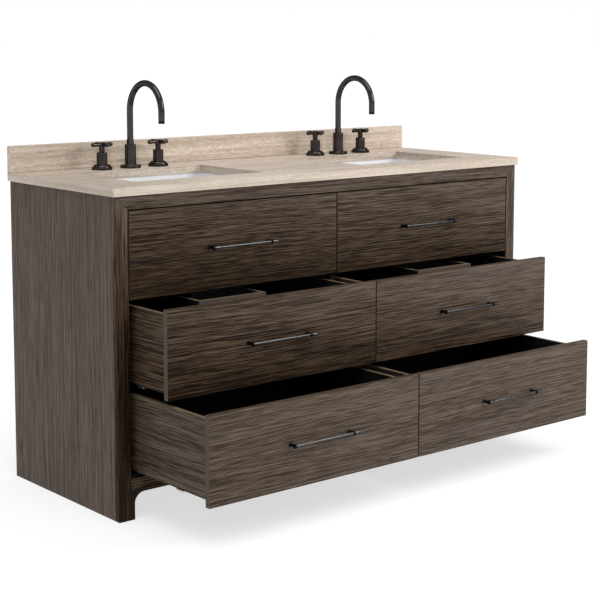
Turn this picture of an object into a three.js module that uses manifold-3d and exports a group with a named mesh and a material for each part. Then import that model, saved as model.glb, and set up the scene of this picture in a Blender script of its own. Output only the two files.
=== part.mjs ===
// Bathroom vanity cabinet: two undermount sinks, two widespread faucets, two false fronts, four drawers.
// Millimetres, +Z up. X runs along the front, the user stands on the -Y side, the floor is Z = 0.
// Y = 0 inside the file is the face of the cabinet; the whole group is moved at the end so that the
// origin is the centre of the footprint. The drawers are drawn part open, as their joints start.

import * as THREE from 'three';
import { mergeVertices } from 'three/addons/utils/BufferGeometryUtils.js';
import Module from 'manifold-3d';

const wasm = await Module();
wasm.setup();

// ---------------------------------------------------------------- driving dimensions

const GAP = 0.3; // clearance between pieces that touch

const CABINET_WIDTH = 1508;
const CABINET_DEPTH = 553;
const CABINET_HEIGHT = 863;
const BOARD = 18; // case panels, face frame and base boards
const STILE_WIDTH = 38;
const TOP_RAIL_HEIGHT = 36;

const APRON_BOTTOM = 72;
const APRON_TOP = 111;
const LEG_WIDTH = 49; // from the cabinet's side to the leg's inner edge
const LEG_CORNER_RADIUS = 29;
const BACK_RAIL_HEIGHT = 100;
const BACK_PANEL_THICKNESS = 6;
const PIPE_HOLE_HALF_WIDTH = 130; // openings in the back panel, one behind each sink
const PIPE_HOLE_BOTTOM = 480;
const PIPE_HOLE_TOP = 740;

const COUNTER_WIDTH = 1524;
const COUNTER_OVERHANG = 6; // over the front only: the back is flush
const COUNTER_TOP = 887;
const SPLASH_HEIGHT = 76;
const SPLASH_THICKNESS = 20;

const FRONT_THICKNESS = 17;
const FRONT_HEIGHT = 234;
const FRONT_SIDE_GAP = 3;
const FRONT_CENTRE_GAP = 4;
const FIRST_FRONT_BOTTOM = 117;
const ROW_PITCH = 236.2;

const BOX_INSET = 18; // a front's end to the drawer box's outer face
const BOX_WALL = 12;
const BOX_DEPTH = 457;
const BOX_BELOW_TOP = 17; // box top edge under the front's top edge
const BOX_ABOVE_BOTTOM = 10;
const BOTTOM_THICKNESS = 6;
const BOTTOM_RECESS = 12; // clear height under the drawer bottom, for the slides
const NOTCH_HALF_WIDTH = 114; // outside of the plumbing notch walls
const NOTCH_START = 133; // front of the notch, behind the face of the drawer front

const MIDDLE_OPEN = 170;
const BOTTOM_OPEN = 346;

const RAIL_WIDTH = 22;
const RAIL_HEIGHT = 13;
const RAIL_METAL = 2;
const RAIL_LENGTH = 450;

const SINK_OFFSET = 405; // sink and faucet centres, each side of the cabinet's centre
const SINK_CENTRE_Y = 262;
const CUTOUT_HALF_WIDTH = 219;
const CUTOUT_HALF_DEPTH = 156;
const CUTOUT_RADIUS = 6;
const BOWL_DEPTH = 150;
const CERAMIC = 12;
const SINK_FLANGE = 26;
const DRAIN_HOLE_RADIUS = 24;

const FAUCET_Y = 463;
const VALVE_SPACING = 98;
const DECK_HOLE_RADIUS = 17;
const SHANK_RADIUS = 13.5;
const SHANK_LENGTH = 42; // below the counter's underside
const SPOUT_RADIUS = 9.3;
const SPOUT_REACH = 164;
const SPOUT_TOP = 1147;
const SPOUT_TIP = 1024;
const SPOUT_BASE_TOP = 957;
const VALVE_TOP = 937;
const HANDLE_BOTTOM = 953;
const HANDLE_TOP = 967;
const HANDLE_HALF_SPAN = 34.5;

const PULL_SPACING = 200;
const PULL_STANDOFF = 20;
const COLLAR_RADIUS = 6.2;
const BAR_RADIUS = 3.75;
const BAR_PAST_COLLAR = 20;

// ---------------------------------------------------------------- derived places

const halfWidth = CABINET_WIDTH / 2;
const innerHalf = halfWidth - BOARD; // inner face of a side panel
const stileInner = halfWidth - STILE_WIDTH;
const counterBottom = CABINET_HEIGHT + GAP;
const railBottom = CABINET_HEIGHT - TOP_RAIL_HEIGHT;
const frontWidth = stileInner - FRONT_SIDE_GAP - FRONT_CENTRE_GAP / 2;
const frontCentre = FRONT_CENTRE_GAP / 2 + frontWidth / 2;
const boxHalf = frontWidth / 2 - BOX_INSET;
const boxStart = FRONT_THICKNESS + GAP;
const boxEnd = boxStart + BOX_DEPTH;
const boxTop = FRONT_HEIGHT - BOX_BELOW_TOP;

// ---------------------------------------------------------------- materials

function finish(color, roughness, metalness) {
  return new THREE.MeshStandardMaterial({ color, roughness, metalness });
}

const sideVeneer = finish('#5b544d', 0.55, 0);
const frontVeneer = finish('#5d4f45', 0.5, 0);
const innerBoard = finish('#1b1917', 0.7, 0);
const travertine = finish('#cdc5b8', 0.35, 0);
const ceramic = finish('#f2f2f0', 0.12, 0);
const darkMetal = finish('#35363a', 0.35, 0.9);
const zincSteel = finish('#b4b6b8', 0.4, 1);

// ---------------------------------------------------------------- helpers

// A closed mesh with shared vertices, without the slivers that a pole or a seam leaves.
function closed(geometry) {
  const bare = new THREE.BufferGeometry();
  bare.setAttribute('position', geometry.getAttribute('position').clone());
  if (geometry.index) {
    bare.setIndex(geometry.index.clone());
  }
  const merged = mergeVertices(bare, 1e-4);
  const index = Array.from(merged.index.array);
  const kept = [];
  for (let i = 0; i < index.length; i += 3) {
    const [a, b, c] = index.slice(i, i + 3);
    if (a !== b && b !== c && c !== a) {
      kept.push(a, b, c);
    }
  }
  merged.setIndex(kept);
  return merged;
}

function toSolid(geometry) {
  const mesh = closed(geometry);
  return new wasm.Manifold(new wasm.Mesh({
    numProp: 3,
    vertProperties: new Float32Array(mesh.getAttribute('position').array),
    triVerts: new Uint32Array(mesh.index.array),
  }));
}

function toGeometry(solid) {
  const mesh = solid.getMesh();
  const geometry = new THREE.BufferGeometry();
  geometry.setAttribute('position', new THREE.BufferAttribute(mesh.vertProperties, 3));
  geometry.setIndex(new THREE.BufferAttribute(mesh.triVerts, 1));
  return geometry;
}

function join(geometries) {
  return toGeometry(geometries.map(toSolid).reduce((sum, solid) => sum.add(solid)));
}

function cut(geometry, tools) {
  return toGeometry(tools.map(toSolid).reduce((rest, tool) => rest.subtract(tool), toSolid(geometry)));
}

function place(parent, name, geometry, material) {
  const ready = closed(geometry);
  ready.computeVertexNormals();
  const mesh = new THREE.Mesh(ready, material);
  mesh.name = name;
  parent.add(mesh);
  return mesh;
}

function block(x0, x1, y0, y1, z0, z1) {
  const geometry = new THREE.BoxGeometry(x1 - x0, y1 - y0, z1 - z0);
  return geometry.translate((x0 + x1) / 2, (y0 + y1) / 2, (z0 + z1) / 2);
}

function outline(points) {
  return new THREE.Shape(points.map(([x, y]) => new THREE.Vector2(x, y)));
}

// A plan outline in X and Y, raised from z0 to z1.
function raise(shape, z0, z1, curveSegments = 8) {
  const geometry = new THREE.ExtrudeGeometry(shape, { depth: z1 - z0, bevelEnabled: false, curveSegments });
  return geometry.translate(0, 0, z0);
}

// A front outline in X and Z, given thickness from y0 to y1.
function thicken(shape, y0, y1, curveSegments = 8) {
  const geometry = new THREE.ExtrudeGeometry(shape, { depth: y1 - y0, bevelEnabled: false, curveSegments });
  return geometry.rotateX(Math.PI / 2).translate(0, y1, 0);
}

// A turned piece about the Z axis from [radius, z] points, listed up the outside.
function turn(profile, segments) {
  const points = profile.map(([radius, z]) => new THREE.Vector2(radius, z));
  return new THREE.LatheGeometry(points, segments).rotateX(Math.PI / 2);
}

function roundedRectangle(path, cx, cy, hx, hy, r) {
  path.moveTo(cx + hx, cy - hy + r);
  path.lineTo(cx + hx, cy + hy - r);
  path.absarc(cx + hx - r, cy + hy - r, r, 0, Math.PI / 2, false);
  path.lineTo(cx - hx + r, cy + hy);
  path.absarc(cx - hx + r, cy + hy - r, r, Math.PI / 2, Math.PI, false);
  path.lineTo(cx - hx, cy - hy + r);
  path.absarc(cx - hx + r, cy - hy + r, r, Math.PI, 1.5 * Math.PI, false);
  path.lineTo(cx + hx - r, cy - hy);
  path.absarc(cx + hx - r, cy - hy + r, r, 1.5 * Math.PI, 2 * Math.PI, false);
  return path;
}

function sideName(side) {
  return side < 0 ? 'left' : 'right';
}

// ---------------------------------------------------------------- case

function addCase(cabinet) {
  const panelFront = BOARD + GAP;
  const backFace = CABINET_DEPTH - BOARD;
  const floorTop = APRON_TOP;
  const floorBottom = APRON_TOP - BOARD;
  for (const side of [-1, 1]) {
    const panel = block(innerHalf, halfWidth, panelFront, CABINET_DEPTH, 0, CABINET_HEIGHT);
    if (side < 0) {
      panel.translate(-halfWidth - innerHalf, 0, 0);
    }
    place(cabinet, `${sideName(side)}_side_panel`, panel, sideVeneer);
  }
  const insideEdge = innerHalf - GAP;
  const bottomPanel = block(-insideEdge, insideEdge, panelFront, backFace - GAP, floorBottom, floorTop);
  place(cabinet, 'bottom_panel', bottomPanel, innerBoard);
  const divider = block(-BOARD / 2, BOARD / 2, panelFront, backFace - GAP, floorTop + GAP, CABINET_HEIGHT);
  place(cabinet, 'center_divider', divider, innerBoard);
  const railFoot = CABINET_HEIGHT - BACK_RAIL_HEIGHT;
  const topRail = block(-insideEdge, insideEdge, backFace, CABINET_DEPTH, railFoot, CABINET_HEIGHT);
  place(cabinet, 'back_top_rail', topRail, innerBoard);
  const sheetBack = backFace + BACK_PANEL_THICKNESS;
  const sheet = block(-insideEdge, insideEdge, backFace, sheetBack, APRON_BOTTOM, railFoot - GAP);
  const pipeHoles = [-1, 1].map((side) => {
    const low = side * SINK_OFFSET - PIPE_HOLE_HALF_WIDTH;
    const high = side * SINK_OFFSET + PIPE_HOLE_HALF_WIDTH;
    return block(low, high, backFace - 1, sheetBack + 1, PIPE_HOLE_BOTTOM, PIPE_HOLE_TOP);
  });
  place(cabinet, 'back_panel', cut(sheet, pipeHoles), innerBoard);
}

// The stiles and the top rail meet in a mitre at each top corner.
function addFaceFrame(cabinet) {
  for (const side of [-1, 1]) {
    const stile = outline([
      [side * halfWidth, 0],
      [side * halfWidth, CABINET_HEIGHT],
      [side * stileInner, railBottom],
      [side * stileInner, 0],
    ]);
    place(cabinet, `frame_${sideName(side)}_stile`, thicken(stile, 0, BOARD), frontVeneer);
  }
  const mitreGap = 1.5 * GAP;
  const rail = outline([
    [-stileInner + mitreGap, railBottom],
    [stileInner - mitreGap, railBottom],
    [halfWidth - mitreGap, CABINET_HEIGHT],
    [-halfWidth + mitreGap, CABINET_HEIGHT],
  ]);
  place(cabinet, 'frame_top_rail', thicken(rail, 0, BOARD), frontVeneer);
}

// The apron is flush with the stiles and rests on a leg block with a rounded inner corner at each end.
function addBase(cabinet) {
  const end = halfWidth - STILE_WIDTH - GAP;
  place(cabinet, 'base_apron', block(-end, end, 0, BOARD, APRON_BOTTOM + GAP, APRON_TOP), frontVeneer);
  for (const side of [-1, 1]) {
    const legInner = halfWidth - LEG_WIDTH;
    const bendX = legInner - LEG_CORNER_RADIUS;
    const bendZ = APRON_BOTTOM - LEG_CORNER_RADIUS;
    const leg = new THREE.Shape();
    leg.moveTo(side * end, 0);
    leg.lineTo(side * end, APRON_BOTTOM);
    leg.lineTo(side * bendX, APRON_BOTTOM);
    leg.absarc(side * bendX, bendZ, LEG_CORNER_RADIUS, Math.PI / 2, side < 0 ? Math.PI : 0, side > 0);
    leg.lineTo(side * legInner, 0);
    place(cabinet, `leg_block_${sideName(side)}`, thicken(leg, 0, BOARD, 8), frontVeneer);
  }
}

// ---------------------------------------------------------------- counter and sinks

function addCounter(cabinet) {
  const half = COUNTER_WIDTH / 2;
  const slab = outline([
    [-half, -COUNTER_OVERHANG],
    [half, -COUNTER_OVERHANG],
    [half, CABINET_DEPTH],
    [-half, CABINET_DEPTH],
  ]);
  for (const side of [-1, 1]) {
    const centre = side * SINK_OFFSET;
    slab.holes.push(roundedRectangle(new THREE.Path(), centre, SINK_CENTRE_Y, CUTOUT_HALF_WIDTH,
      CUTOUT_HALF_DEPTH, CUTOUT_RADIUS));
    for (const step of [-1, 0, 1]) {
      const hole = new THREE.Path();
      hole.absarc(centre + step * VALVE_SPACING, FAUCET_Y, DECK_HOLE_RADIUS, 0, 2 * Math.PI, false);
      slab.holes.push(hole);
    }
  }
  place(cabinet, 'countertop', raise(slab, counterBottom, COUNTER_TOP, 4), travertine);
  const splashFoot = COUNTER_TOP + GAP;
  const splash = block(-half, half, CABINET_DEPTH - SPLASH_THICKNESS, CABINET_DEPTH, splashFoot,
    splashFoot + SPLASH_HEIGHT);
  place(cabinet, 'backsplash', splash, travertine);
}

// One ring of a rectangular bowl: a rounded rectangle with the same number of points on every ring.
function bowlRing({ hx, hy, r, z }, perCorner) {
  const points = [];
  for (let corner = 0; corner < 4; corner += 1) {
    const signX = corner === 0 || corner === 3 ? 1 : -1;
    const signY = corner < 2 ? 1 : -1;
    for (let step = 0; step < perCorner; step += 1) {
      const angle = (corner + step / (perCorner - 1)) * Math.PI / 2;
      const x = signX * (hx - r) + r * Math.cos(angle);
      const y = signY * (hy - r) + r * Math.sin(angle);
      points.push(new THREE.Vector3(x, y, z));
    }
  }
  return points;
}

// A closed skin through rings that start and end at the same place, as on a ring-shaped solid.
function skinLoop(rings) {
  const count = rings[0].length;
  const positions = rings.flat().flatMap((point) => point.toArray());
  const index = [];
  for (let i = 0; i < rings.length; i += 1) {
    const here = i * count;
    const next = ((i + 1) % rings.length) * count;
    for (let j = 0; j < count; j += 1) {
      const k = (j + 1) % count;
      index.push(here + j, here + k, next + j);
      index.push(here + k, next + k, next + j);
    }
  }
  const geometry = new THREE.BufferGeometry();
  geometry.setAttribute('position', new THREE.Float32BufferAttribute(positions, 3));
  geometry.setIndex(index);
  return geometry;
}

// Undermount bowl: the inside wall down to the drain hole, then the outside back up to the flange.
function sinkGeometry() {
  const inX = CUTOUT_HALF_WIDTH + 2;
  const inY = CUTOUT_HALF_DEPTH + 2;
  const floor = -BOWL_DEPTH;
  const hole = DRAIN_HOLE_RADIUS;
  const ring = (hx, hy, r, z) => ({ hx, hy, r, z });
  const profile = [
    ring(inX, inY, 10, 0),
    ring(inX - 5, inY - 5, 14, floor + 50),
    ring(inX - 12, inY - 12, 22, floor + 20),
    ring(inX - 34, inY - 34, 40, floor + 5),
    ring(hole + 9, hole + 9, hole + 9, floor),
    ring(hole, hole, hole, floor - 1),
    ring(hole, hole, hole, floor - CERAMIC),
    ring(hole + 16, hole + 16, hole + 16, floor - CERAMIC),
    ring(inX - 22, inY - 22, 44, floor - 7),
    ring(inX + 2, inY + 2, 32, floor + 20),
    ring(inX + CERAMIC, inY + CERAMIC, 22, -CERAMIC - 4),
    ring(inX + SINK_FLANGE, inY + SINK_FLANGE, 30, -CERAMIC - 4),
    ring(inX + SINK_FLANGE, inY + SINK_FLANGE, 30, 0),
  ];
  const perCorner = 5;
  return skinLoop(profile.map((entry) => bowlRing(entry, perCorner)));
}

// Drain body with a basket flange, locknut and tailpiece, bored right through.
function drainGeometry() {
  const flangeTop = -BOWL_DEPTH + 3;
  const underside = -BOWL_DEPTH - CERAMIC - GAP;
  const tail = -BOWL_DEPTH - 85;
  return turn([
    [14, tail],
    [16, tail],
    [16, underside - 26],
    [20, underside - 22],
    [20, underside - 12],
    [31, underside - 12],
    [31, underside],
    [20, underside],
    [20, -BOWL_DEPTH + GAP],
    [31, -BOWL_DEPTH + GAP],
    [30, flangeTop - 1],
    [27, flangeTop],
    [20.5, flangeTop - 2],
    [20.5, flangeTop - 8],
    [17, flangeTop - 10],
    [14, underside - 26],
    [14, tail],
  ], 14);
}

function stopperGeometry() {
  const top = -BOWL_DEPTH + 3;
  return turn([
    [0, top - 44],
    [4, top - 44],
    [4, top - 6],
    [19, top - 4],
    [19, top - 1],
    [14, top],
    [0, top + 1],
  ], 14);
}

function addSinks(cabinet) {
  for (const side of [-1, 1]) {
    const sink = new THREE.Group();
    sink.position.set(side * SINK_OFFSET, SINK_CENTRE_Y, CABINET_HEIGHT);
    place(sink, `sink_${sideName(side)}`, sinkGeometry(), ceramic);
    place(sink, `drain_${sideName(side)}`, drainGeometry(), darkMetal);
    place(sink, `drain_stopper_${sideName(side)}`, stopperGeometry(), darkMetal);
    cabinet.add(sink);
  }
}

// ---------------------------------------------------------------- faucets

// Heights in a faucet group are measured from the counter's top.
function deckHeight(z) {
  return z - COUNTER_TOP;
}

function shankBottom() {
  return deckHeight(counterBottom) - SHANK_LENGTH;
}

function spoutBaseGeometry() {
  return turn([
    [0, shankBottom()],
    [SHANK_RADIUS, shankBottom()],
    [SHANK_RADIUS, GAP],
    [30.5, GAP],
    [30.5, 7],
    [28.5, 9],
    [16.5, 9],
    [16.5, deckHeight(SPOUT_BASE_TOP) - 1],
    [15.5, deckHeight(SPOUT_BASE_TOP)],
    [0, deckHeight(SPOUT_BASE_TOP)],
  ], 16);
}

// Swivelling gooseneck: a straight riser, a half-circle arch towards the user and a short drop.
function spoutGeometry() {
  const archRadius = SPOUT_REACH / 2;
  const archCentre = deckHeight(SPOUT_TOP) - SPOUT_RADIUS - archRadius;
  const start = deckHeight(SPOUT_BASE_TOP) + GAP + 4;
  const tip = deckHeight(SPOUT_TIP);
  const path = new THREE.CurvePath();
  path.add(new THREE.LineCurve3(new THREE.Vector3(0, 0, start), new THREE.Vector3(0, 0, archCentre)));
  const arch = new THREE.CatmullRomCurve3(Array.from({ length: 17 }, (_, i) => {
    const angle = (i / 16) * Math.PI;
    const y = -archRadius + archRadius * Math.cos(angle);
    return new THREE.Vector3(0, y, archCentre + archRadius * Math.sin(angle));
  }));
  path.add(arch);
  path.add(new THREE.LineCurve3(new THREE.Vector3(0, -SPOUT_REACH, archCentre),
    new THREE.Vector3(0, -SPOUT_REACH, tip)));
  const section = new THREE.Shape();
  section.absarc(0, 0, SPOUT_RADIUS, 0, 2 * Math.PI, false);
  const tube = new THREE.ExtrudeGeometry(section, { steps: 26, extrudePath: path, curveSegments: 6 });
  const collarBottom = deckHeight(SPOUT_BASE_TOP) + GAP;
  const collar = turn([
    [0, collarBottom],
    [10.6, collarBottom],
    [10.6, collarBottom + 13],
    [9.8, collarBottom + 15],
    [0, collarBottom + 15],
  ], 12);
  return join([tube, collar]);
}

function valveBodyGeometry() {
  const top = deckHeight(VALVE_TOP);
  return turn([
    [0, shankBottom()],
    [SHANK_RADIUS, shankBottom()],
    [SHANK_RADIUS, GAP],
    [30, GAP],
    [30, 4.5],
    [28, 7],
    [24.5, 10],
    [19, 13.2],
    [15.5, 16.5],
    [15.5, top - 1],
    [14.5, top],
    [0, top],
  ], 16);
}

// Cross handle: a stem and hub with four round spokes at right angles.
function crossHandleGeometry() {
  const stemBottom = deckHeight(VALVE_TOP) + GAP;
  const hubBottom = deckHeight(HANDLE_BOTTOM);
  const hubTop = deckHeight(HANDLE_TOP);
  const spokeRadius = (hubTop - hubBottom) / 2 - 0.7;
  const hub = turn([
    [0, stemBottom],
    [8.2, stemBottom],
    [8.2, hubBottom - 1],
    [9.5, hubBottom],
    [9.5, hubTop - 1],
    [8.5, hubTop],
    [0, hubTop],
  ], 12);
  const bar = () => turn([
    [0, -HANDLE_HALF_SPAN],
    [spokeRadius - 1.5, -HANDLE_HALF_SPAN],
    [spokeRadius, -HANDLE_HALF_SPAN + 1.5],
    [spokeRadius, HANDLE_HALF_SPAN - 1.5],
    [spokeRadius - 1.5, HANDLE_HALF_SPAN],
    [0, HANDLE_HALF_SPAN],
  ], 10);
  const middle = (hubBottom + hubTop) / 2;
  const alongX = bar().rotateY(Math.PI / 2).translate(0, 0, middle);
  const alongY = bar().rotateX(Math.PI / 2).translate(0, 0, middle);
  return join([hub, alongX, alongY]);
}

function addFaucets(cabinet) {
  for (const side of [-1, 1]) {
    const set = sideName(side);
    const spout = new THREE.Group();
    spout.position.set(side * SINK_OFFSET, FAUCET_Y, COUNTER_TOP);
    place(spout, `spout_base_${set}`, spoutBaseGeometry(), darkMetal);
    place(spout, `spout_${set}`, spoutGeometry(), darkMetal);
    cabinet.add(spout);
    for (const [temperature, step] of [['hot', -1], ['cold', 1]]) {
      const valve = new THREE.Group();
      valve.position.set(side * SINK_OFFSET + step * VALVE_SPACING, FAUCET_Y, COUNTER_TOP);
      place(valve, `valve_body_${set}_${temperature}`, valveBodyGeometry(), darkMetal);
      place(valve, `cross_handle_${set}_${temperature}`, crossHandleGeometry(), darkMetal);
      cabinet.add(valve);
    }
  }
}

// ---------------------------------------------------------------- fronts, pulls and drawers

// Bar pull: two footed posts with a collar each, and a thin bar that ends past the right collar.
function pullGeometry() {
  const segments = 12;
  const alongBar = (profile, x) => turn(profile, segments).rotateY(Math.PI / 2).translate(x, -PULL_STANDOFF, 0);
  const rod = (radius, length) => [[0, 0], [radius, 0], [radius, length], [0, length]];
  const half = PULL_SPACING / 2;
  const pieces = [alongBar(rod(BAR_RADIUS, PULL_SPACING + BAR_PAST_COLLAR), -half)];
  for (const x of [-half, half]) {
    const post = turn([
      [0, GAP],
      [6, GAP],
      [6, 1.8],
      [4, 2.6],
      [4, PULL_STANDOFF],
      [0, PULL_STANDOFF],
    ], segments);
    pieces.push(post.rotateX(Math.PI / 2).translate(x, 0, 0));
    pieces.push(alongBar(rod(COLLAR_RADIUS, 5), x - 2.5));
    pieces.push(alongBar(rod(4.7, BAR_PAST_COLLAR), x + 1));
  }
  return join(pieces);
}

// Plan of a plain drawer box: two sides and a back of one thickness.
function plainBoxOutline() {
  const inner = boxHalf - BOX_WALL;
  return outline([
    [-boxHalf, boxStart],
    [-boxHalf, boxEnd],
    [boxHalf, boxEnd],
    [boxHalf, boxStart],
    [inner, boxStart],
    [inner, boxEnd - BOX_WALL],
    [-inner, boxEnd - BOX_WALL],
    [-inner, boxStart],
  ]);
}

// Plan of a box whose back runs in and out again round the drain pipe.
function notchedBoxOutline(notchCentre) {
  const inner = boxHalf - BOX_WALL;
  const low = notchCentre - NOTCH_HALF_WIDTH;
  const high = notchCentre + NOTCH_HALF_WIDTH;
  return outline([
    [-boxHalf, boxStart],
    [-boxHalf, boxEnd],
    [low + BOX_WALL, boxEnd],
    [low + BOX_WALL, NOTCH_START + BOX_WALL],
    [high - BOX_WALL, NOTCH_START + BOX_WALL],
    [high - BOX_WALL, boxEnd],
    [boxHalf, boxEnd],
    [boxHalf, boxStart],
    [inner, boxStart],
    [inner, boxEnd - BOX_WALL],
    [high, boxEnd - BOX_WALL],
    [high, NOTCH_START],
    [low, NOTCH_START],
    [low, boxEnd - BOX_WALL],
    [-inner, boxEnd - BOX_WALL],
    [-inner, boxStart],
  ]);
}

function drawerBottomOutline(notchCentre, notched) {
  const side = boxHalf - BOX_WALL - GAP;
  const front = boxStart;
  const back = boxEnd - BOX_WALL - GAP;
  const points = [[-side, front], [side, front], [side, back]];
  if (notched) {
    const low = notchCentre - NOTCH_HALF_WIDTH - GAP;
    const high = notchCentre + NOTCH_HALF_WIDTH + GAP;
    const start = NOTCH_START - GAP;
    points.push([high, back], [high, start], [low, start], [low, back]);
  }
  points.push([-side, back]);
  return outline(points);
}

function addFront(group, kind, label) {
  const half = frontWidth / 2;
  place(group, `${kind}_${label}`, block(-half, half, 0, FRONT_THICKNESS, 0, FRONT_HEIGHT), frontVeneer);
  const pull = place(group, `pull_${label}`, pullGeometry(), darkMetal);
  pull.position.set(0, 0, FRONT_HEIGHT / 2);
}

function addDrawer(cabinet, side, row) {
  const label = `${row.name}_${sideName(side)}`;
  const drawer = new THREE.Group();
  drawer.position.set(side * frontCentre, -row.open, row.bottom);
  addFront(drawer, 'drawer_front', label);
  const notchCentre = side * (SINK_OFFSET - frontCentre);
  const walls = row.notched ? notchedBoxOutline(notchCentre) : plainBoxOutline();
  place(drawer, `drawer_box_${label}`, raise(walls, BOX_ABOVE_BOTTOM, boxTop), frontVeneer);
  const base = BOX_ABOVE_BOTTOM + BOTTOM_RECESS;
  const sheet = raise(drawerBottomOutline(notchCentre, row.notched), base, base + BOTTOM_THICKNESS);
  place(drawer, `drawer_bottom_${label}`, sheet, innerBoard);
  cabinet.add(drawer);
}

// Fixed slide rail: a shallow channel under the drawer, with a foot at each end that reaches its wall.
function slideRailGeometry(wallX, railX) {
  const front = BOARD + GAP;
  const back = front + RAIL_LENGTH;
  const away = Math.sign(railX - wallX);
  const near = railX - away * RAIL_WIDTH / 2;
  const channel = outline([
    [railX - RAIL_WIDTH / 2, RAIL_HEIGHT],
    [railX - RAIL_WIDTH / 2, 0],
    [railX + RAIL_WIDTH / 2, 0],
    [railX + RAIL_WIDTH / 2, RAIL_HEIGHT],
    [railX + RAIL_WIDTH / 2 - RAIL_METAL, RAIL_HEIGHT],
    [railX + RAIL_WIDTH / 2 - RAIL_METAL, RAIL_METAL],
    [railX - RAIL_WIDTH / 2 + RAIL_METAL, RAIL_METAL],
    [railX - RAIL_WIDTH / 2 + RAIL_METAL, RAIL_HEIGHT],
  ]);
  const reach = wallX + away * GAP;
  const footLow = Math.min(reach, near + away);
  const footHigh = Math.max(reach, near + away);
  const feet = [front, back - 30].map((y) => block(footLow, footHigh, y, y + 30, 0, RAIL_METAL));
  const tabs = [front, back - 30].map((y) => {
    const tabEdge = reach + away * RAIL_METAL;
    return block(Math.min(reach, tabEdge), Math.max(reach, tabEdge), y, y + 30, 0, RAIL_HEIGHT);
  });
  return join([thicken(channel, front, back), ...feet, ...tabs]);
}

function addSlides(cabinet, side, row) {
  const boxEdge = boxHalf - BOX_WALL - GAP - RAIL_WIDTH / 2;
  const walls = {
    outer: { wall: side * innerHalf, rail: side * (frontCentre + boxEdge) },
    inner: { wall: side * BOARD / 2, rail: side * (frontCentre - boxEdge) },
  };
  for (const [position, { wall, rail }] of Object.entries(walls)) {
    const geometry = slideRailGeometry(wall, rail);
    geometry.translate(0, 0, row.bottom + BOX_ABOVE_BOTTOM - GAP - RAIL_HEIGHT);
    place(cabinet, `slide_rail_${row.name}_${sideName(side)}_${position}`, geometry, zincSteel);
  }
}

// ---------------------------------------------------------------- assembly

const rows = [
  { name: 'bottom', bottom: FIRST_FRONT_BOTTOM, open: BOTTOM_OPEN, notched: false },
  { name: 'middle', bottom: FIRST_FRONT_BOTTOM + ROW_PITCH, open: MIDDLE_OPEN, notched: true },
];
const falseFrontBottom = FIRST_FRONT_BOTTOM + 2 * ROW_PITCH;

const vanity = new THREE.Group();
addCase(vanity);
addFaceFrame(vanity);
addBase(vanity);
addCounter(vanity);
addSinks(vanity);
addFaucets(vanity);
for (const side of [-1, 1]) {
  const panel = new THREE.Group();
  panel.position.set(side * frontCentre, 0, falseFrontBottom);
  addFront(panel, 'false_front', `top_${sideName(side)}`);
  vanity.add(panel);
  for (const row of rows) {
    addDrawer(vanity, side, row);
    addSlides(vanity, side, row);
  }
}

// The footprint runs from the bottom drawers' pulls to the back of the cabinet.
const frontReach = BOTTOM_OPEN + PULL_STANDOFF + COLLAR_RADIUS;
vanity.position.y = (frontReach - CABINET_DEPTH) / 2;

export default vanity;
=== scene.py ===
"""Looks of the bathroom vanity cabinet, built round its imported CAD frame. Metres, +Z up."""

import math
import random

import bmesh
import bpy
from mathutils import Matrix, Vector


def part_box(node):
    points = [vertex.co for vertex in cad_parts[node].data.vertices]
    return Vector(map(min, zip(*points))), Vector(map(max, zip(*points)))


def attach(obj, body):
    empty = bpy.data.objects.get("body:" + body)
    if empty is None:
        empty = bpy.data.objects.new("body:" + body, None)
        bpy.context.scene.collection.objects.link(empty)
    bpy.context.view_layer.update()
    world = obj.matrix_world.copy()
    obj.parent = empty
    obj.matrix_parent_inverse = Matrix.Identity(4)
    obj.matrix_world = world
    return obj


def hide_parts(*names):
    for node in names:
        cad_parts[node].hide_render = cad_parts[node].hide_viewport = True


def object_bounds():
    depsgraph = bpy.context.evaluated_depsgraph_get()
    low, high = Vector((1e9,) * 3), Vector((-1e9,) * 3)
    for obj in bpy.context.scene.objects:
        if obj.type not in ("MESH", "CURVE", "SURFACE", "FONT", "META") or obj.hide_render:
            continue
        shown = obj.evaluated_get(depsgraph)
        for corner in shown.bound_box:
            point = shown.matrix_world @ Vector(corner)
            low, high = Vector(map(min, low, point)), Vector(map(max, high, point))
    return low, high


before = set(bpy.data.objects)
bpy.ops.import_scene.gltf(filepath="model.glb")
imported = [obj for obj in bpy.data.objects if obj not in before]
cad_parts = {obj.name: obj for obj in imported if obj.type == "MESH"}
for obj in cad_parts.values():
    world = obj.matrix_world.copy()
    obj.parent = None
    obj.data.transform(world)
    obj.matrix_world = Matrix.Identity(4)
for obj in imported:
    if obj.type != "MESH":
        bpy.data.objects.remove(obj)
cad_low, cad_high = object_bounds()

# ---------------------------------------------------------------- sizes

MM = 0.001
EDGE = 0.9 * MM  # eased edge of a board
BOX_EDGE = 0.8 * MM  # of a drawer box's boards
FRAME_EDGE = 0.7 * MM  # of the stiles and the top rail
THIN_EDGE = 0.5 * MM  # of the back panel and the drawer bottoms
STONE_EDGE = 1.4 * MM
RING_PITCH = 11.5 * MM  # spacing of the growth lines in the veneer
BOX_WALL = 12 * MM  # thickness of a drawer box's boards
FACE_GAP = 0.3 * MM  # between two pieces that touch
MITRE_GAP = 0.4 * MM  # between the top rail and a stile, at the inner corner
LEG_RADIUS = 29 * MM  # of the leg blocks' inner corner
NOTCH_HALF = 114 * MM  # the plumbing notch, from its middle to its walls' outer faces
NOTCH_START = 115.7 * MM  # from the box's front end to the notch's front board
RUNNER_METAL = 1.2 * MM  # thickness of a slide's moving half
PULL_TO_SCREW = 17.35 * MM  # from a pull's foot, through the front, to its screw's head

SIDES = ("left", "right")
SIGN = {"left": -1, "right": 1}
OTHER = {"left": "right", "right": "left"}

X, Y, Z = 0, 1, 2


def middle(node):
    """The middle of a CAD node's box."""
    low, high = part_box(node)
    return (low + high) / 2


def below(node):
    """The point at height 0 under a node's middle."""
    return (*middle(node).xy, 0)


# ---------------------------------------------------------------- node trees

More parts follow.
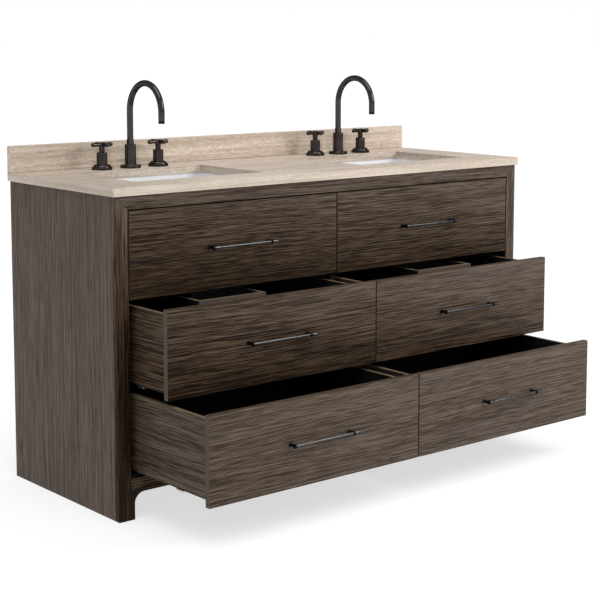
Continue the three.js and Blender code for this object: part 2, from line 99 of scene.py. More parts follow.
# Places of a mix node's sockets A, B and Result
MIX_VECTOR = (4, 5, 1)
MIX_COLOUR = (6, 7, 2)


class Nodes:
    """A short way to write a material's node tree."""

    def __init__(self, name):
        self.material = bpy.data.materials.new(name)
        self.material.use_nodes = True
        self.tree = self.material.node_tree
        self.shader = self.tree.nodes["Principled BSDF"]

    def node(self, kind, **settings):
        made = self.tree.nodes.new(kind)
        for key, value in settings.items():
            setattr(made, key, value)
        return made

    def feed(self, socket, value):
        if isinstance(value, bpy.types.NodeSocket):
            self.tree.links.new(value, socket)
        else:
            socket.default_value = value

    def attribute(self, name, output="Vector"):
        return self.node("ShaderNodeAttribute", attribute_name=name).outputs[output]

    def place(self):
        return self.node("ShaderNodeTexCoord").outputs["Object"]

    def vector(self, operation, a, b):
        made = self.node("ShaderNodeVectorMath", operation=operation)
        self.feed(made.inputs[0], a)
        self.feed(made.inputs[1], b)
        return made.outputs[0]

    def math(self, operation, a, b=0.0, clamp=False):
        made = self.node("ShaderNodeMath", operation=operation, use_clamp=clamp)
        self.feed(made.inputs[0], a)
        self.feed(made.inputs[1], b)
        return made.outputs[0]

    def blend(self, *weighted):
        """The sum of some values, each times its weight."""
        total = None
        for value, weight in weighted:
            part = self.math("MULTIPLY", value, weight)
            total = part if total is None else self.math("ADD", total, part)
        return total

    def separate(self, vector):
        made = self.node("ShaderNodeSeparateXYZ")
        self.feed(made.inputs[0], vector)
        return made.outputs

    def combine(self, **axes):
        made = self.node("ShaderNodeCombineXYZ")
        for axis, value in axes.items():
            self.feed(made.inputs[axis], value)
        return made.outputs[0]

    def noise(self, where, stretch, detail=3.0, roughness=0.5):
        """Noise whose cells are 1/stretch metres along each axis, or along all three alike."""
        cells = stretch if isinstance(stretch, tuple) else (stretch,) * 3
        made = self.node("ShaderNodeTexNoise")
        self.feed(made.inputs["Vector"], self.vector("MULTIPLY", where, cells))
        made.inputs["Scale"].default_value = 1.0
        made.inputs["Detail"].default_value = detail
        made.inputs["Roughness"].default_value = roughness
        return made.outputs["Fac"]

    def ramp(self, value, stops):
        made = self.node("ShaderNodeValToRGB")
        self.feed(made.inputs["Fac"], value)
        elements = made.color_ramp.elements
        while len(elements) < len(stops):
            elements.new(0.5)
        for element, (position, color) in zip(elements, stops):
            element.position = position
            element.color = (*color, 1.0) if len(color) == 3 else color
        return made.outputs["Color"]

    def span(self, value, low, high, to_low=0.0, to_high=1.0):
        made = self.node("ShaderNodeMapRange")
        for socket, number in zip(made.inputs, (value, low, high, to_low, to_high)):
            self.feed(socket, number)
        return made.outputs[0]

    def mix(self, amount, a, b, blend="MIX"):
        made = self.node("ShaderNodeMix", data_type="RGBA", blend_type=blend)
        self.feed(made.inputs["Factor"], amount)
        for socket, value in zip(MIX_COLOUR, (a, b)):
            self.feed(made.inputs[socket], value if isinstance(value, bpy.types.NodeSocket) else (*value, 1.0))
        return made.outputs[MIX_COLOUR[2]]

    def bump(self, height, strength, distance):
        made = self.node("ShaderNodeBump")
        made.inputs["Strength"].default_value = strength
        made.inputs["Distance"].default_value = distance
        self.feed(made.inputs["Height"], height)
        self.feed(self.shader.inputs["Normal"], made.outputs["Normal"])

    def edge_wear(self, low=0.52, high=0.62):
        """1 on worn outer edges, 0 on flat faces."""
        pointed = self.node("ShaderNodeNewGeometry").outputs["Pointiness"]
        return self.span(pointed, low, high)

    def set(self, **sockets):
        for key, value in sockets.items():
            self.feed(self.shader.inputs[key.replace("_", " ")], value)
        return self.material


# ---------------------------------------------------------------- materials


def veneer(name, dark, mid, light, contrast=1.0):
    """Brushed wood veneer in three colours.

    The grain attribute holds metres along, across and into each leaf. The tone attribute is 0 where the leaf
    is dark, brown and full of figure, and 1 where it is pale, grey and even; besides the leaf's own tone it
    also carries painted light and shade. It may go past both.
    """
    n = Nodes(name)
    grain = n.attribute("grain")
    tone = n.attribute("tone", "Fac")
    drift = n.noise(grain, (1.1, 5.0, 5.0), 2.0)
    waver = n.noise(grain, (6.0, 30.0, 30.0), 2.0)
    shift = n.blend((n.math("SUBTRACT", drift, 0.5), 0.034), (n.math("SUBTRACT", waver, 0.5), 0.0014))
    bent = n.vector("ADD", grain, n.combine(Y=shift))
    bands = n.noise(bent, (0.8, 26.0, 20.0), 2.0)
    streaks = n.noise(bent, (4.4, 530.0, 260.0), 1.0)
    fibres = n.noise(bent, (17.0, 640.0, 380.0), 1.0)
    figure = n.blend((streaks, 0.52), (fibres, 0.42), (bands, 0.06))
    spread = 0.063 / contrast
    level = n.span(figure, 0.5 - spread, 0.5 + spread)
    swing = n.span(tone, 0.1, 0.8, 1.0, 0.60)  # darker tones show more figure
    level = n.math("MULTIPLY", n.math("SUBTRACT", level, 0.5), swing)
    # Lower tones darken the whole leaf: partly its own colour, partly painted shade.
    lean = n.math("MULTIPLY", n.math("SUBTRACT", tone, 0.5), 0.9)
    level = n.math("ADD", n.math("ADD", level, 0.5), lean, clamp=True)
    colour = n.ramp(level, ((0.0, dark), (0.45, mid), (1.0, light)))
    cool = n.span(n.noise(bent, (1.6, 60.0, 40.0), 2.0), 0.45, 0.60, 0.0, 0.8)
    colour = n.mix(cool, colour, (0.90, 0.93, 1.0), "MULTIPLY")
    # Painted shade together with the leaf's own browning: lower tones turn the colour darker and browner.
    low = n.span(tone, 0.1, 0.75, 1.0, 0.0)
    colour = n.mix(low, colour, (1.0, 0.81, 0.54), "MULTIPLY")
    turns = n.blend((n.separate(bent)["Y"], 2 * math.pi / RING_PITCH), (bands, 22.0))
    crest = n.math("POWER", n.span(n.math("SINE", turns), -1.0, 1.0), 6.0)
    grouped = n.span(n.noise(bent, (1.3, 13.0, 12.0), 2.0), 0.44, 0.60)
    rings = n.math("MULTIPLY", n.math("MULTIPLY", crest, grouped), n.span(streaks, 0.35, 0.6, 0.1, 0.6))
    mark = n.math("MAXIMUM", n.span(n.noise(bent, (5.5, 560.0, 260.0), 1.0), 0.59, 0.67), rings)
    mark = n.math("MULTIPLY", mark, n.span(tone, 0.15, 0.85, 0.95, 0.35))
    colour = n.mix(mark, colour, dark)
    worn = n.math("MULTIPLY", n.edge_wear(0.55, 0.68), n.span(tone, 0.0, 0.5, 0.08, 0.3))
    colour = n.mix(worn, colour, light)
    relief = n.math("SUBTRACT", n.math("MULTIPLY", level, 0.7), n.math("MULTIPLY", mark, 0.5))
    n.bump(relief, 0.3, 0.0005)
    return n.set(Base_Color=colour, Roughness=n.span(level, 0.0, 1.0, 0.66, 0.5), Specular_IOR_Level=0.12)


def edge_band(name, dark, light):
    """Edge banding: the veneer's colour as one long even strip with faint lines."""
    n = Nodes(name)
    grain = n.attribute("grain")
    lines = n.noise(grain, (60.0, 60.0, 900.0), 3.0)
    patches = n.noise(grain, 9.0, 2.0)
    level = n.blend((lines, 0.6), (patches, 0.4))
    colour = n.mix(n.span(level, 0.35, 0.65), dark, light)
    colour = n.mix(n.math("MULTIPLY", n.edge_wear(), 0.3), colour, light)
    n.bump(lines, 0.15, 0.0003)
    return n.set(Base_Color=colour, Roughness=n.span(level, 0.35, 0.65, 0.6, 0.48), Specular_IOR_Level=0.14)


def black_laminate():
    """Near-black melamine with a fine pebbled skin."""
    n = Nodes("black_laminate")
    where = n.place()
    pebble = n.noise(where, 900.0, 2.0)
    dust = n.noise(where, 6.0, 4.0, 0.6)
    colour = n.mix(n.span(dust, 0.35, 0.75), (0.0085, 0.0085, 0.0088), (0.0130, 0.0128, 0.0126))
    colour = n.mix(n.math("MULTIPLY", n.edge_wear(0.55, 0.68), 0.15), colour, (0.03, 0.028, 0.026))
    n.bump(pebble, 0.12, 0.0002)
    return n.set(Base_Color=colour, Roughness=n.span(dust, 0.3, 0.7, 0.66, 0.76), Specular_IOR_Level=0.14)


def hardboard():
    """Smooth dark board for the cabinet's back: pressed fibres and pale handling scuffs."""
    n = Nodes("dark_hardboard")
    where = n.place()
    fibres = n.noise(where, (260.0, 260.0, 700.0), 3.0, 0.6)
    patches = n.noise(where, (3.0, 3.0, 4.0), 4.0, 0.6)
    scuffs = n.span(n.noise(where, (9.0, 9.0, 70.0), 4.0, 0.7), 0.60, 0.72, 0.0, 0.35)
    level = n.blend((fibres, 0.5), (patches, 0.5))
    colour = n.mix(n.span(level, 0.38, 0.62), (0.0110, 0.0102, 0.0096), (0.0230, 0.0212, 0.0198))
    colour = n.mix(scuffs, colour, (0.050, 0.047, 0.044))
    colour = n.mix(n.math("MULTIPLY", n.edge_wear(0.55, 0.68), 0.4), colour, (0.075, 0.062, 0.050))
    n.bump(fibres, 0.15, 0.0003)
    return n.set(Base_Color=colour, Roughness=n.span(patches, 0.3, 0.7, 0.55, 0.7), Specular_IOR_Level=0.25)


def travertine(name, pale):
    """Honed stone, vein cut: long level streaks, soft clouds and small dark dashes.

    On faces that look along X the streaks run along Y. pale makes the whole stone paler; on the backsplash it
    is painted light.
    """
    n = Nodes(name)
    where = n.place()
    facing = n.separate(n.node("ShaderNodeTexCoord").outputs["Normal"])
    sideways = n.math("GREATER_THAN", n.math("ABSOLUTE", facing["X"]), 0.7)
    place = n.separate(where)
    choose = n.node("ShaderNodeMix", data_type="VECTOR")
    n.feed(choose.inputs["Factor"], sideways)
    first, second, result = MIX_VECTOR
    n.feed(choose.inputs[first], where)
    n.feed(choose.inputs[second], n.combine(X=place["Y"], Y=place["X"], Z=place["Z"]))
    where = choose.outputs[result]
    drift = n.noise(where, (1.6, 5.0, 5.0), 3.0)
    shift = n.math("MULTIPLY", n.math("SUBTRACT", drift, 0.5), 0.04)
    bent = n.vector("ADD", where, n.combine(Y=shift, Z=shift))
    veins = n.noise(bent, (3.0, 90.0, 110.0), 4.0, 0.6)
    fine = n.noise(bent, (55.0, 480.0, 480.0), 3.0, 0.65)
    clouds = n.noise(where, (2.2, 5.0, 5.0), 3.0, 0.55)
    layers = n.noise(bent, (1.4, 24.0, 44.0), 4.0, 0.6)
    level = n.blend((veins, 0.26), (fine, 0.40), (clouds, 0.10), (layers, 0.24))
    shades = ((0.0, (0.375, 0.302, 0.228)), (0.4, (0.515, 0.427, 0.348)),
              (0.7, (0.570, 0.480, 0.400)), (1.0, (0.690, 0.603, 0.512)))
    colour = n.ramp(n.span(level, 0.43, 0.57),
                    [(at, tuple(part * pale for part in shade)) for at, shade in shades])
    # Painted shade: the stone darkens towards -X, away from the key light.
    across = n.span(place["X"], -0.80, -0.40, 0.75, 0.0)
    colour = n.mix(across, colour, (0.72, 0.71, 0.69), "MULTIPLY")
    dashes = n.noise(bent, (75.0, 620.0, 620.0), 2.0)
    dash = n.span(dashes, 0.33, 0.38, 1.0, 0.0)
    colour = n.mix(n.math("MULTIPLY", dash, 0.3), colour, (0.30, 0.22, 0.15))
    pores = n.span(n.noise(where, (150.0, 230.0, 260.0), 2.0, 0.6), 0.36, 0.48, 0.30, 0.0)
    colour = n.mix(pores, colour, (0.36, 0.27, 0.19))
    colour = n.mix(n.math("MULTIPLY", n.edge_wear(), 0.3), colour, (0.74, 0.66, 0.58))
    n.bump(n.math("SUBTRACT", fine, dash), 0.10, 0.0004)
    return n.set(Base_Color=colour, Roughness=n.span(level, 0.4, 0.6, 0.48, 0.40), Specular_IOR_Level=0.3)


def glazed_ceramic():
    n = Nodes("glazed_ceramic")
    where = n.place()
    ripple = n.noise(where, 16.0, 3.0)
    speck = n.noise(where, 700.0, 1.0)
    colour = n.mix(n.span(ripple, 0.3, 0.7), (0.83, 0.84, 0.86), (0.88, 0.885, 0.89))
    colour = n.mix(n.span(speck, 0.74, 0.78, 0.0, 0.3), colour, (0.62, 0.6, 0.57))
    n.bump(ripple, 0.05, 0.002)
    return n.set(Base_Color=colour, Roughness=n.span(ripple, 0.3, 0.7, 0.08, 0.14), Coat_Weight=0.5,
                 Coat_Roughness=0.04)


def gunmetal(name, deep, bright, roughness):
    """Dark plated metal with fine turning marks and slightly polished edges."""
    n = Nodes(name)
    where = n.place()
    marks = n.noise(where, (120.0, 120.0, 2400.0), 2.0)
    smudge = n.noise(where, 24.0, 4.0, 0.6)
    colour = n.mix(n.span(smudge, 0.3, 0.7), deep, bright)
    colour = n.mix(n.math("MULTIPLY", n.edge_wear(0.53, 0.66), 0.4), colour, tuple(2.2 * c for c in bright))
    n.bump(marks, 0.05, 0.0002)
    rough = n.math("ADD", n.span(smudge, 0.3, 0.7, roughness - 0.05, roughness + 0.06),
                   n.span(marks, 0.3, 0.7, -0.02, 0.02))
    return n.set(Base_Color=colour, Metallic=0.9, Roughness=rough, Specular_Tint=(0.25, 0.24, 0.24, 1.0))


def zinc_steel(name, dull, bright):
    n = Nodes(name)
    where = n.place()
    spangle = n.noise(where, 90.0, 3.0, 0.6)
    drawn = n.noise(where, (700.0, 6.0, 700.0), 3.0)
    colour = n.mix(n.span(spangle, 0.35, 0.65), dull, bright)
    n.bump(drawn, 0.08, 0.0003)
    return n.set(Base_Color=colour, Metallic=1.0, Roughness=n.span(drawn, 0.3, 0.7, 0.30, 0.44))


def black_polymer():
    n = Nodes("black_polymer")
    where = n.place()
    skin = n.noise(where, 1500.0, 2.0)
    tint = n.noise(where, 40.0, 2.0)
    colour = n.mix(n.span(tint, 0.3, 0.7), (0.012, 0.012, 0.013), (0.028, 0.028, 0.03))
    n.bump(skin, 0.15, 0.0002)
    return n.set(Base_Color=colour, Roughness=n.span(skin, 0.3, 0.7, 0.5, 0.62))


def floor_finish():
    n = Nodes("pale_floor")
    where = n.place()
    cloud = n.noise(where, 0.7, 3.0)
    colour = n.mix(n.span(cloud, 0.3, 0.7), (0.39, 0.39, 0.39), (0.41, 0.41, 0.41))
    return n.set(Base_Color=colour, Roughness=0.8, Specular_IOR_Level=0.1, Emission_Color=(1.0, 1.0, 1.0, 1.0),
                 Emission_Strength=0.66)


FRONT_WOOD = veneer("front_veneer", (0.0085, 0.0042, 0.0018), (0.050, 0.0335, 0.0215),
                    (0.130, 0.100, 0.078), 1.1)
SIDE_WOOD = veneer("side_veneer", (0.055, 0.0455, 0.041), (0.105, 0.0875, 0.079), (0.158, 0.132, 0.121))
EDGE_LIGHT = edge_band("edge_band_grey", (0.058, 0.045, 0.037), (0.088, 0.070, 0.058))
EDGE_BROWN = edge_band("edge_band_brown", (0.030, 0.018, 0.010), (0.080, 0.054, 0.034))
EDGE_TAN = edge_band("edge_band_tan", (0.085, 0.058, 0.036), (0.180, 0.130, 0.085))
LAMINATE = black_laminate()
BACK_BOARD = hardboard()
STONE = travertine("travertine", 1.0)
# The backsplash's stone is 1.14 times paler: painted light for the extra light it catches.
LIT_SPLASH_STONE = travertine("travertine_upright", 1.14)
CERAMIC = glazed_ceramic()
FAUCET_METAL = gunmetal("faucet_gunmetal", (0.048, 0.043, 0.041), (0.080, 0.072, 0.069), 0.15)
PULL_METAL = gunmetal("pull_gunmetal", (0.068, 0.068, 0.070), (0.104, 0.104, 0.107), 0.25)
POST_METAL = gunmetal("post_gunmetal", (0.010, 0.010, 0.012), (0.022, 0.022, 0.026), 0.28)
ZINC = zinc_steel("zinc_steel", (0.36, 0.37, 0.38), (0.56, 0.57, 0.58))
BLACK_ZINC = zinc_steel("black_zinc_steel", (0.030, 0.030, 0.033), (0.060, 0.060, 0.064))
POLYMER = black_polymer()

# ---------------------------------------------------------------- meshes


def finish_mesh(name, shape, materials, body, stands_for=(), sharp=35.0):
    """Turns a bmesh into a smooth-shaded piece that rides on its body."""
    bmesh.ops.recalc_face_normals(shape, faces=shape.faces)
    mesh = bpy.data.meshes.new(name)
    shape.to_mesh(mesh)
    shape.free()
    for material in materials:
        mesh.materials.append(material)
    mesh.shade_smooth()
    mesh.set_sharp_from_angle(angle=math.radians(sharp))
    piece = bpy.data.objects.new(name, mesh)
    bpy.context.scene.collection.objects.link(piece)
    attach(piece, body)
    if stands_for:
        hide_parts(*stands_for)
    return piece


def add_attributes(piece, along, across, tones_and_light):
    """Writes the grain coordinates, with an offset of the piece's own, and the tone.

    The tones given are the tone at the foot and at the top, the veneer's own tone together with painted light
    and shade. Two more numbers may follow: how late it changes on the way up, and its rise along +X, which is
    painted light.
    """
    mesh = piece.data
    draw = random.Random(piece.name)
    offset = Vector([draw.uniform(-8, 8) for _ in range(3)])
    depth = 3 - along - across
    heights = [vertex.co.z for vertex in mesh.vertices]
    foot, rise = min(heights), max(max(heights) - min(heights), MM)
    starts = [vertex.co.x for vertex in mesh.vertices]
    start, run = min(starts), max(max(starts) - min(starts), MM)
    low, high, late, light_slope = (*tones_and_light, 1.0, 0.0)[:4] if len(tones_and_light) == 2 else tones_and_light
    grain = mesh.attributes.new("grain", "FLOAT_VECTOR", "POINT")
    for vertex, item in zip(mesh.vertices, grain.data):
        item.vector = Vector((vertex.co[along], vertex.co[across], vertex.co[depth])) + offset
    tone = mesh.attributes.new("tone", "FLOAT", "POINT")
    for vertex, item in zip(mesh.vertices, tone.data):
        # The rise along +X is painted light: pieces grow paler towards the side the key light comes from.
        item.value = (low + (high - low) * ((vertex.co.z - foot) / rise) ** late
                      + light_slope * ((vertex.co.x - start) / run - 0.5))


DIRECTIONS = {
    "left": (X, -1), "right": (X, 1), "front": (Y, -1), "back": (Y, 1), "bottom": (Z, -1), "top": (Z, 1),
}


def paint_faces(shape, faces):
    """Gives each face the material index of the direction it looks in, or 0."""
    for face in shape.faces:
        face.normal_update()
        best = max(DIRECTIONS, key=lambda way: face.normal[DIRECTIONS[way][0]] * DIRECTIONS[way][1])
        face.material_index = faces.get(best, 0)


def slice_up(shape, low, high, pieces=8):
    """Cuts level lines into a shape, so that its tone can change along the way up."""
    for i in range(1, pieces):
        bmesh.ops.bisect_plane(shape, geom=shape.verts[:] + shape.edges[:] + shape.faces[:], dist=1e-6,
                               plane_co=(0.0, 0.0, low + (high - low) * i / pieces), plane_no=(0.0, 0.0, 1.0))


def finish_board(name, shape, body, along, across, wood, faces, tones_and_light, stands_for):
    """Gives each side of a board its material, and writes its grain and tone."""
    bmesh.ops.recalc_face_normals(shape, faces=shape.faces)
    materials = [wood]
    indices = {}
    for way, material in (faces or {}).items():
        if material not in materials:
            materials.append(material)
        indices[way] = materials.index(material)
    paint_faces(shape, indices)
    piece = finish_mesh(name, shape, materials, body, stands_for)
    add_attributes(piece, along, across, tones_and_light)
    return piece


def board(name, low, high, body, along=X, across=Z, wood=FRONT_WOOD, faces=None, tones_and_light=(0.5, 0.5),
          stands_for=(), edge=EDGE):
    """A flat board with eased edges. faces maps a direction to another material than the wood."""
    low, high = Vector(low), Vector(high)
    size, centre = high - low, (high + low) / 2
    shape = bmesh.new()
    bmesh.ops.create_cube(shape, size=1.0)
    place = Matrix.Translation(centre) @ Matrix.Diagonal((*size, 1.0))
    bmesh.ops.transform(shape, matrix=place, verts=shape.verts)
    bmesh.ops.bevel(shape, geom=shape.edges[:], offset=min(edge, min(size) * 0.3), segments=3, profile=0.6,
                    affect="EDGES")
    slice_up(shape, low.z, high.z)
    piece = finish_board(name, shape, body, along, across, wood, faces, tones_and_light, stands_for)
    weighted = piece.modifiers.new("weighted", "WEIGHTED_NORMAL")
    weighted.keep_sharp = False


def prism(name, points, low, high, body, along, across, wood=FRONT_WOOD, faces=None, tones_and_light=(0.5, 0.5),
          stands_for=(), edge=EDGE):
    """A board of any outline: (x, z) points, swept along Y from low to high."""
    shape = bmesh.new()
    base = shape.faces.new([shape.verts.new((x, low, z)) for x, z in points])
    grown = bmesh.ops.extrude_face_region(shape, geom=[base])
    moved = [item for item in grown["geom"] if isinstance(item, bmesh.types.BMVert)]
    bmesh.ops.translate(shape, verts=moved, vec=(0.0, high - low, 0.0))
    bmesh.ops.recalc_face_normals(shape, faces=shape.faces)
    corners = [e for e in shape.edges if e.is_manifold and e.calc_face_angle() > math.radians(20)]
    bmesh.ops.bevel(shape, geom=corners, offset=edge, segments=2, profile=0.6, affect="EDGES")
    heights = [vert.co.z for vert in shape.verts]
    slice_up(shape, min(heights), max(heights))
    finish_board(name, shape, body, along, across, wood, faces, tones_and_light, stands_for)


def rounded(profile, radius, steps=4):
    """A profile of (radius, height) points with each inner corner turned into a small arc."""
    points = [Vector((a, b)) for a, b in profile]
    out = [points[0]]
    for before, corner, after in zip(points, points[1:], points[2:]):
        into, away = before - corner, after - corner
        reach = min(radius, into.length * 0.45, away.length * 0.45)
        start = corner + into.normalized() * reach
        end = corner + away.normalized() * reach
        for i in range(steps + 1):
            t = i / steps
            out.append(start * (1 - t) ** 2 + corner * 2 * t * (1 - t) + end * t ** 2)
    out.append(points[-1])
    return [(point.x, point.y) for point in out]


def outline(radius, *parts, steps=4):
    """A rounded profile, in millimetres. A part is a base height in metres and its (radius, height) points."""
    return rounded([(r * MM, base + h * MM) for base, *points in parts for r, h in points], radius * MM, steps)


def turned_shape(profile, segments):
    """A turned solid about Z. A profile that doesn't start on the axis closes on itself."""
    shape = bmesh.new()
    on_axis = profile[0][0] < 1e-7
    columns = []
    for radius, height in profile:
        if radius < 1e-7:
            columns.append([shape.verts.new((0.0, 0.0, height))] * segments)
            continue
        columns.append([
            shape.verts.new((radius * math.cos(2 * math.pi * i / segments),
                             radius * math.sin(2 * math.pi * i / segments), height))
            for i in range(segments)
        ])
    pairs = list(zip(columns, columns[1:]))
    if not on_axis:
        pairs.append((columns[-1], columns[0]))
    for a, b in pairs:
        for i in range(segments):
            j = (i + 1) % segments
            corners = []
            for vert in (a[i], a[j], b[j], b[i]):
                if vert not in corners:
                    corners.append(vert)
            if len(corners) > 2:
                shape.faces.new(corners)
    return shape


def turned(name, profile, centre, body, material, axis=Z, segments=48, stands_for=()):
    """A turned piece. Its profile's heights run along +X, -Y or +Z from centre."""
    shape = turned_shape(profile, segments)
    turn = {X: Matrix.Rotation(math.pi / 2, 4, "Y"), Y: Matrix.Rotation(math.pi / 2, 4, "X"),
            Z: Matrix.Identity(4)}[axis]
    bmesh.ops.transform(shape, matrix=Matrix.Translation(centre) @ turn, verts=shape.verts)
    finish_mesh(name, shape, [material], body, stands_for)


def ring_loft(rings, solid=False):
    """A skin through rings of the same number of points: capped at both ends if solid, or else closed."""
    shape = bmesh.new()
    rows = [[shape.verts.new(point) for point in ring] for ring in rings]
    pairs = list(zip(rows, rows[1:]))
    if not solid:
        pairs.append((rows[-1], rows[0]))
    count = len(rows[0])
    for a, b in pairs:
        for i in range(count):
            j = (i + 1) % count
            shape.faces.new((a[i], a[j], b[j], b[i]))
    if solid:
        shape.faces.new(rows[0])
        shape.faces.new(reversed(rows[-1]))
    return shape


def rounded_ring(centre, half_x, half_y, radius, z, per_corner=14):
    """The points of a level rectangle with rounded corners."""
    points = []
    for corner in range(4):
        sign_x = 1 if corner in (0, 3) else -1
        sign_y = 1 if corner < 2 else -1
        for step in range(per_corner):
            angle = (corner + step / (per_corner - 1)) * math.pi / 2
            x = centre.x + sign_x * (half_x - radius) + radius * math.cos(angle)
            y = centre.y + sign_y * (half_y - radius) + radius * math.sin(angle)
            points.append((x, y, z))
    return points


def ease_cad(node, material, width=STONE_EDGE):
    """Keeps a CAD node, softens its edges and gives it its finish."""
    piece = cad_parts[node]
    weld = piece.modifiers.new("weld", "WELD")
    weld.merge_threshold = 1e-5
    bevel = piece.modifiers.new("bevel", "BEVEL")
    bevel.width, bevel.segments, bevel.limit_method = width, 3, "ANGLE"
    bevel.angle_limit = math.radians(40)
    bevel.harden_normals = False
    if not piece.material_slots:
        piece.data.materials.append(material)
    for slot in piece.material_slots:
        slot.material = material


# ---------------------------------------------------------------- case and face frame


def build_case():
    for side in SIDES:
        node = f"{side}_side_panel"
        low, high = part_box(node)
        board(f"{node}_leaf", low, high, "cabinet", Z, Y, SIDE_WOOD,
              {OTHER[side]: LAMINATE, "top": EDGE_BROWN, "bottom": EDGE_BROWN, "back": EDGE_LIGHT},
              (0.40, 0.42), [node])
    for node, along, across in (("bottom_panel", X, Y), ("center_divider", Z, Y), ("back_top_rail", X, Z)):
        low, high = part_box(node)
        board(f"{node}_board", low, high, "cabinet", along, across, LAMINATE, stands_for=[node])
    ease_cad("back_panel", BACK_BOARD, THIN_EDGE)
    build_back_screws()


def build_back_screws():
    """Countersunk screws round the edge of the back panel, with a raised washer under each head."""
    low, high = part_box("back_panel")
    inset, across, up = 12 * MM, 6, 4  # screws stand this far in, and divide each edge into so many steps
    profile = outline(0.15, (0, (0, 0.8), (5.6, 0.8), (5.6, -0.5), (4.0, -0.6), (3.4, -1.4), (1.5, -1.5),
                             (1.1, -1.0), (0, -1.0)))
    spots = []
    for i in range(across + 1):
        x = low.x + inset + (high.x - low.x - 2 * inset) * i / across
        spots += [(x, low.z + inset), (x, high.z - inset)]
    for i in range(1, up):
        z = low.z + inset + (high.z - low.z - 2 * inset) * i / up
        spots += [(low.x + inset, z), (high.x - inset, z)]
    for index, (x, z) in enumerate(spots):
        turned(f"back_screw_{index + 1}", profile, (x, high.y, z), "cabinet", BLACK_ZINC, Y, 24)


# The left stile runs from dark at its foot to pale at the top: the dark foot is painted shadow of the drawers
# beside it.
STILE_TONES_AND_SHADE = {"left": (-0.20, 0.82, 2.3, 0.0), "right": (0.62, 0.72)}


def build_face_frame():
    rail_low, rail_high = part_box("frame_top_rail")
    rail_foot = []
    for side in SIDES:
        node = f"frame_{side}_stile"
        low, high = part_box(node)
        outer, inner = (low.x, high.x) if side == "left" else (high.x, low.x)
        rail_foot.append((inner - SIGN[side] * MITRE_GAP, rail_low.z))
        points = [(outer, low.z), (outer, high.z), (inner, rail_low.z), (inner, low.z)]
        prism(f"{node}_board", points, low.y, high.y, "cabinet", Z, X,
              faces={"back": LAMINATE, OTHER[side]: LAMINATE}, tones_and_light=STILE_TONES_AND_SHADE[side], stands_for=[node],
              edge=FRAME_EDGE)
    points = rail_foot + [(rail_high.x, rail_high.z), (rail_low.x, rail_high.z)]
    prism("frame_top_rail_board", points, rail_low.y, rail_high.y, "cabinet", X, Z,
          faces={"back": LAMINATE, "bottom": LAMINATE}, tones_and_light=(0.64, 0.72), stands_for=["frame_top_rail"],
          edge=FRAME_EDGE)


def build_base():
    low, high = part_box("base_apron")
    board("base_apron_board", low, high, "cabinet", X, Z, faces={"back": LAMINATE, "bottom": EDGE_BROWN},
          tones_and_light=(0.04, 0.32), stands_for=["base_apron"])
    steps = 14
    for side in SIDES:
        node = f"leg_block_{side}"
        low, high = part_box(node)
        outer, tip = (low.x, high.x) if side == "left" else (high.x, low.x)
        out = SIGN[side] * LEG_RADIUS
        points = [(outer, low.z), (outer, high.z)]
        for i in range(steps + 1):
            angle = math.pi / 2 * (1 - i / steps)
            points.append((tip + out * math.cos(angle), high.z - LEG_RADIUS + LEG_RADIUS * math.sin(angle)))
        points.append((tip + out, low.z))
        prism(f"{node}_board", points, low.y, high.y, "cabinet", Z, X,
              faces={"back": LAMINATE}, tones_and_light=(-0.32, -0.18), stands_for=[node], edge=0.6 * MM)


# ---------------------------------------------------------------- drawers and false fronts

# Tones of the fronts: at the foot, at the top, how late they change and their rise along +X. Partly the
# veneer's own figure, partly painted light: the upper rows darker, and each front paler towards +X, where the
# key light falls from.
FRONT_TONES_AND_LIGHT = {
    ("top", "left"): (0.04, 0.54, 0.7, 0.26), ("top", "right"): (0.20, 0.66, 0.7, 0.06),
    ("middle", "left"): (0.06, 0.60, 0.7, 0.26), ("middle", "right"): (0.34, 0.84, 0.7, 0.18),
    ("bottom", "left"): (0.64, 0.74, 1.0, 0.12), ("bottom", "right"): (0.70, 0.78, 1.0, 0.04),
}


def build_front(node, row, side, body):
    low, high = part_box(node)
    ends = EDGE_BROWN if row == "top" else EDGE_LIGHT
    board(f"{node}_panel", low, high, body,
          faces={"back": LAMINATE, "left": ends, "right": ends, "top": EDGE_BROWN, "bottom": EDGE_BROWN},
          tones_and_light=FRONT_TONES_AND_LIGHT[row, side], stands_for=[node])


def build_box(row, side, body):
    """The drawer box as separate boards: two sides, and a back that runs round the plumbing notch."""
    node = f"drawer_box_{row}_{side}"
    low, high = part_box(node)
    tones_and_light = (0.34, 0.55) if row == "middle" else (0.55, 0.66)

    def wall_board(label, a, b, along, seen=None, stands_for=()):
        faces = {way: LAMINATE for way in ("left", "right", "front", "back")}
        if seen:
            faces[seen] = FRONT_WOOD
        faces["top"] = EDGE_TAN
        faces["bottom"] = EDGE_BROWN
        # The notch's front board gets a paler tone: painted light against the shade of the top front above it.
        board(f"{node}_{label}", a, b, body, along, Z, FRONT_WOOD, faces,
              (0.75, 1.0) if label == "notch_front" else tones_and_light, stands_for, edge=BOX_EDGE)

    left, right, back = low.x + BOX_WALL, high.x - BOX_WALL, high.y - BOX_WALL
    wall_board("left_side", low, (left, high.y, high.z), Y, "left", [node])
    wall_board("right_side", (right, low.y, low.z), high, Y, "right")
    if row == "bottom":
        wall_board("back", (left, back, low.z), (right, high.y, high.z), X, "back")
        return
    sink_x = middle(f"sink_{side}").x
    near, far = sink_x - NOTCH_HALF, sink_x + NOTCH_HALF
    front = low.y + NOTCH_START
    wall_board("back_left", (left, back, low.z), (near, high.y, high.z), X, "back")
    wall_board("back_right", (far, back, low.z), (right, high.y, high.z), X, "back")
    # The notch walls are black laminate on every face, also where veneer would show: painted shade for the dark
    # inside of the cabinet.
    wall_board("notch_left", (near, front + BOX_WALL, low.z), (near + BOX_WALL, high.y, high.z), Y)
    wall_board("notch_right", (far - BOX_WALL, front + BOX_WALL, low.z), (far, high.y, high.z), Y)
    wall_board("notch_front", (near, front, low.z), (far, front + BOX_WALL, high.z), X, "front")


